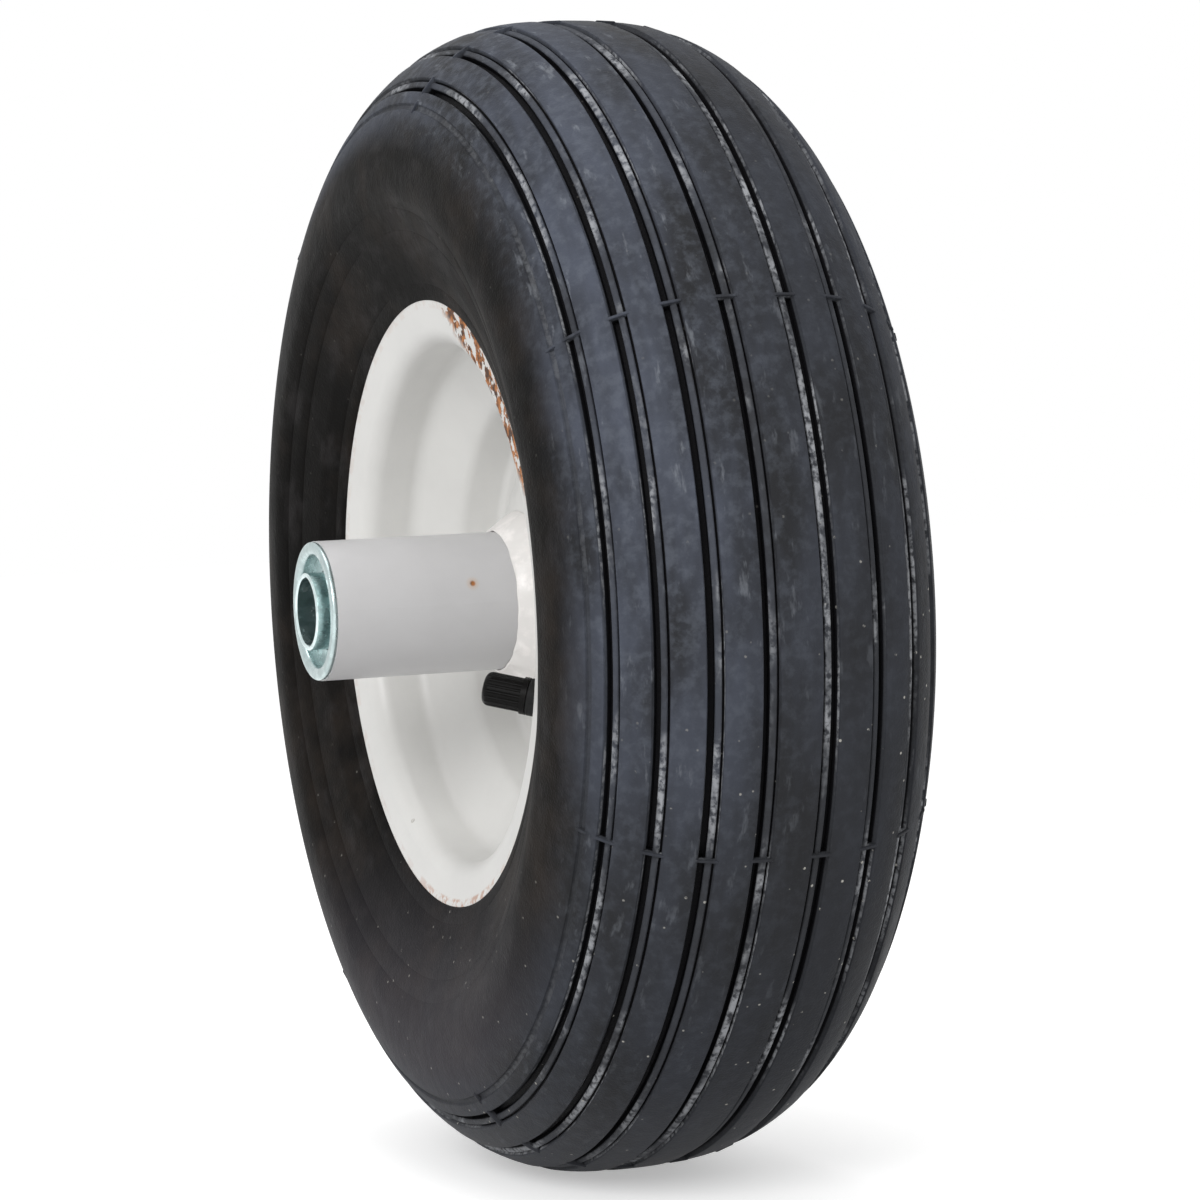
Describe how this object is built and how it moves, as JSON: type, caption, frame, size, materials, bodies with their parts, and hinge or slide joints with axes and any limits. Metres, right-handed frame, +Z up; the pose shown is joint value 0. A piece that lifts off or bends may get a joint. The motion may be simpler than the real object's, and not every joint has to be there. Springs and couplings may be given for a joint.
{
  "type": "wheelbarrow wheel",
  "caption": "Pneumatic wheelbarrow wheel: ribbed tyre and inner tube on a pressed steel rim with a long hub tube, flanged bearings for a plain axle and a capped angled valve",
  "frame": {"origin": "centre of the wheel, on the axle's line and midway between the two rim halves", "axes": "+Y along the axle towards the side without the valve, +Z up; the valve lies on the +X side of the face that looks along -Y"},
  "size_m": [0.3306, 0.1594, 0.33],
  "materials": {
    "tyre_rubber": "satin moulded rubber",
    "tube_rubber": "matt",
    "valve_rubber": "matt",
    "seal_rubber": "matt",
    "rim_paint": "gloss pale grey",
    "hub_paint": "gloss pale grey",
    "zinc": "bright zinc plate",
    "ring_zinc": "bright zinc plate",
    "ball_steel": "polished",
    "cap_plastic": "satin black",
    "brass": "machined"
  },
  "bodies": {
    "wheel": {"tyre": "tyre_rubber", "inner_tube": "tube_rubber", "rim_front": "rim_paint", "rim_rear": "rim_paint", "hub_tube": "hub_paint", "hub_weld_front": "hub_paint", "hub_weld_rear": "hub_paint", "bearing_cup_front": "zinc", "bearing_cup_rear": "zinc", "bearing_shield_front": "zinc", "bearing_shield_rear": "zinc", "valve_stem": "valve_rubber", "valve_barrel": "brass", "core_housing": "brass", "core_spring": "ball_steel"},
    "ring_front": {"bearing_ring_front": "ring_zinc"},
    "ring_rear": {"bearing_ring_rear": "ring_zinc"},
    "balls_front": {"bearing_balls_front": "ball_steel"},
    "balls_rear": {"bearing_balls_rear": "ball_steel"},
    "cap": {"valve_cap": "cap_plastic"},
    "pin": {"core_pin": "brass", "core_seal": "seal_rubber"}
  },
  "joints": [
    {"name": "ring_front_spin", "type": "hinge", "parent": "wheel", "child": "ring_front", "pos_m": [0, 0, 0], "axis": [0, 1, 0], "continuous": true},
    {"name": "balls_front_spin", "type": "hinge", "parent": "wheel", "child": "balls_front", "pos_m": [0, 0, 0], "axis": [0, 1, 0], "continuous": true},
    {"name": "ring_rear_spin", "type": "hinge", "parent": "wheel", "child": "ring_rear", "pos_m": [0, 0, 0], "axis": [0, 1, 0], "continuous": true},
    {"name": "balls_rear_spin", "type": "hinge", "parent": "wheel", "child": "balls_rear", "pos_m": [0, 0, 0], "axis": [0, 1, 0], "continuous": true},
    {"name": "cap_off", "type": "slide", "parent": "wheel", "child": "cap", "axis": [-0.4754, -0.8458, 0.2422], "range_m": [0, 0.014]},
    {"name": "pin_press", "type": "slide", "parent": "wheel", "child": "pin", "axis": [0.4754, 0.8458, -0.2422], "range_m": [0, 0.0011], "stiffness_N_per_m": 1000, "springref_m": -0.002, "deforming": ["core_spring"]}
  ],
  "couplings": [
    {"joint": "balls_front_spin", "follows": "ring_front_spin", "ratio": 0.395},
    {"joint": "balls_rear_spin", "follows": "ring_rear_spin", "ratio": 0.395}
  ]
}
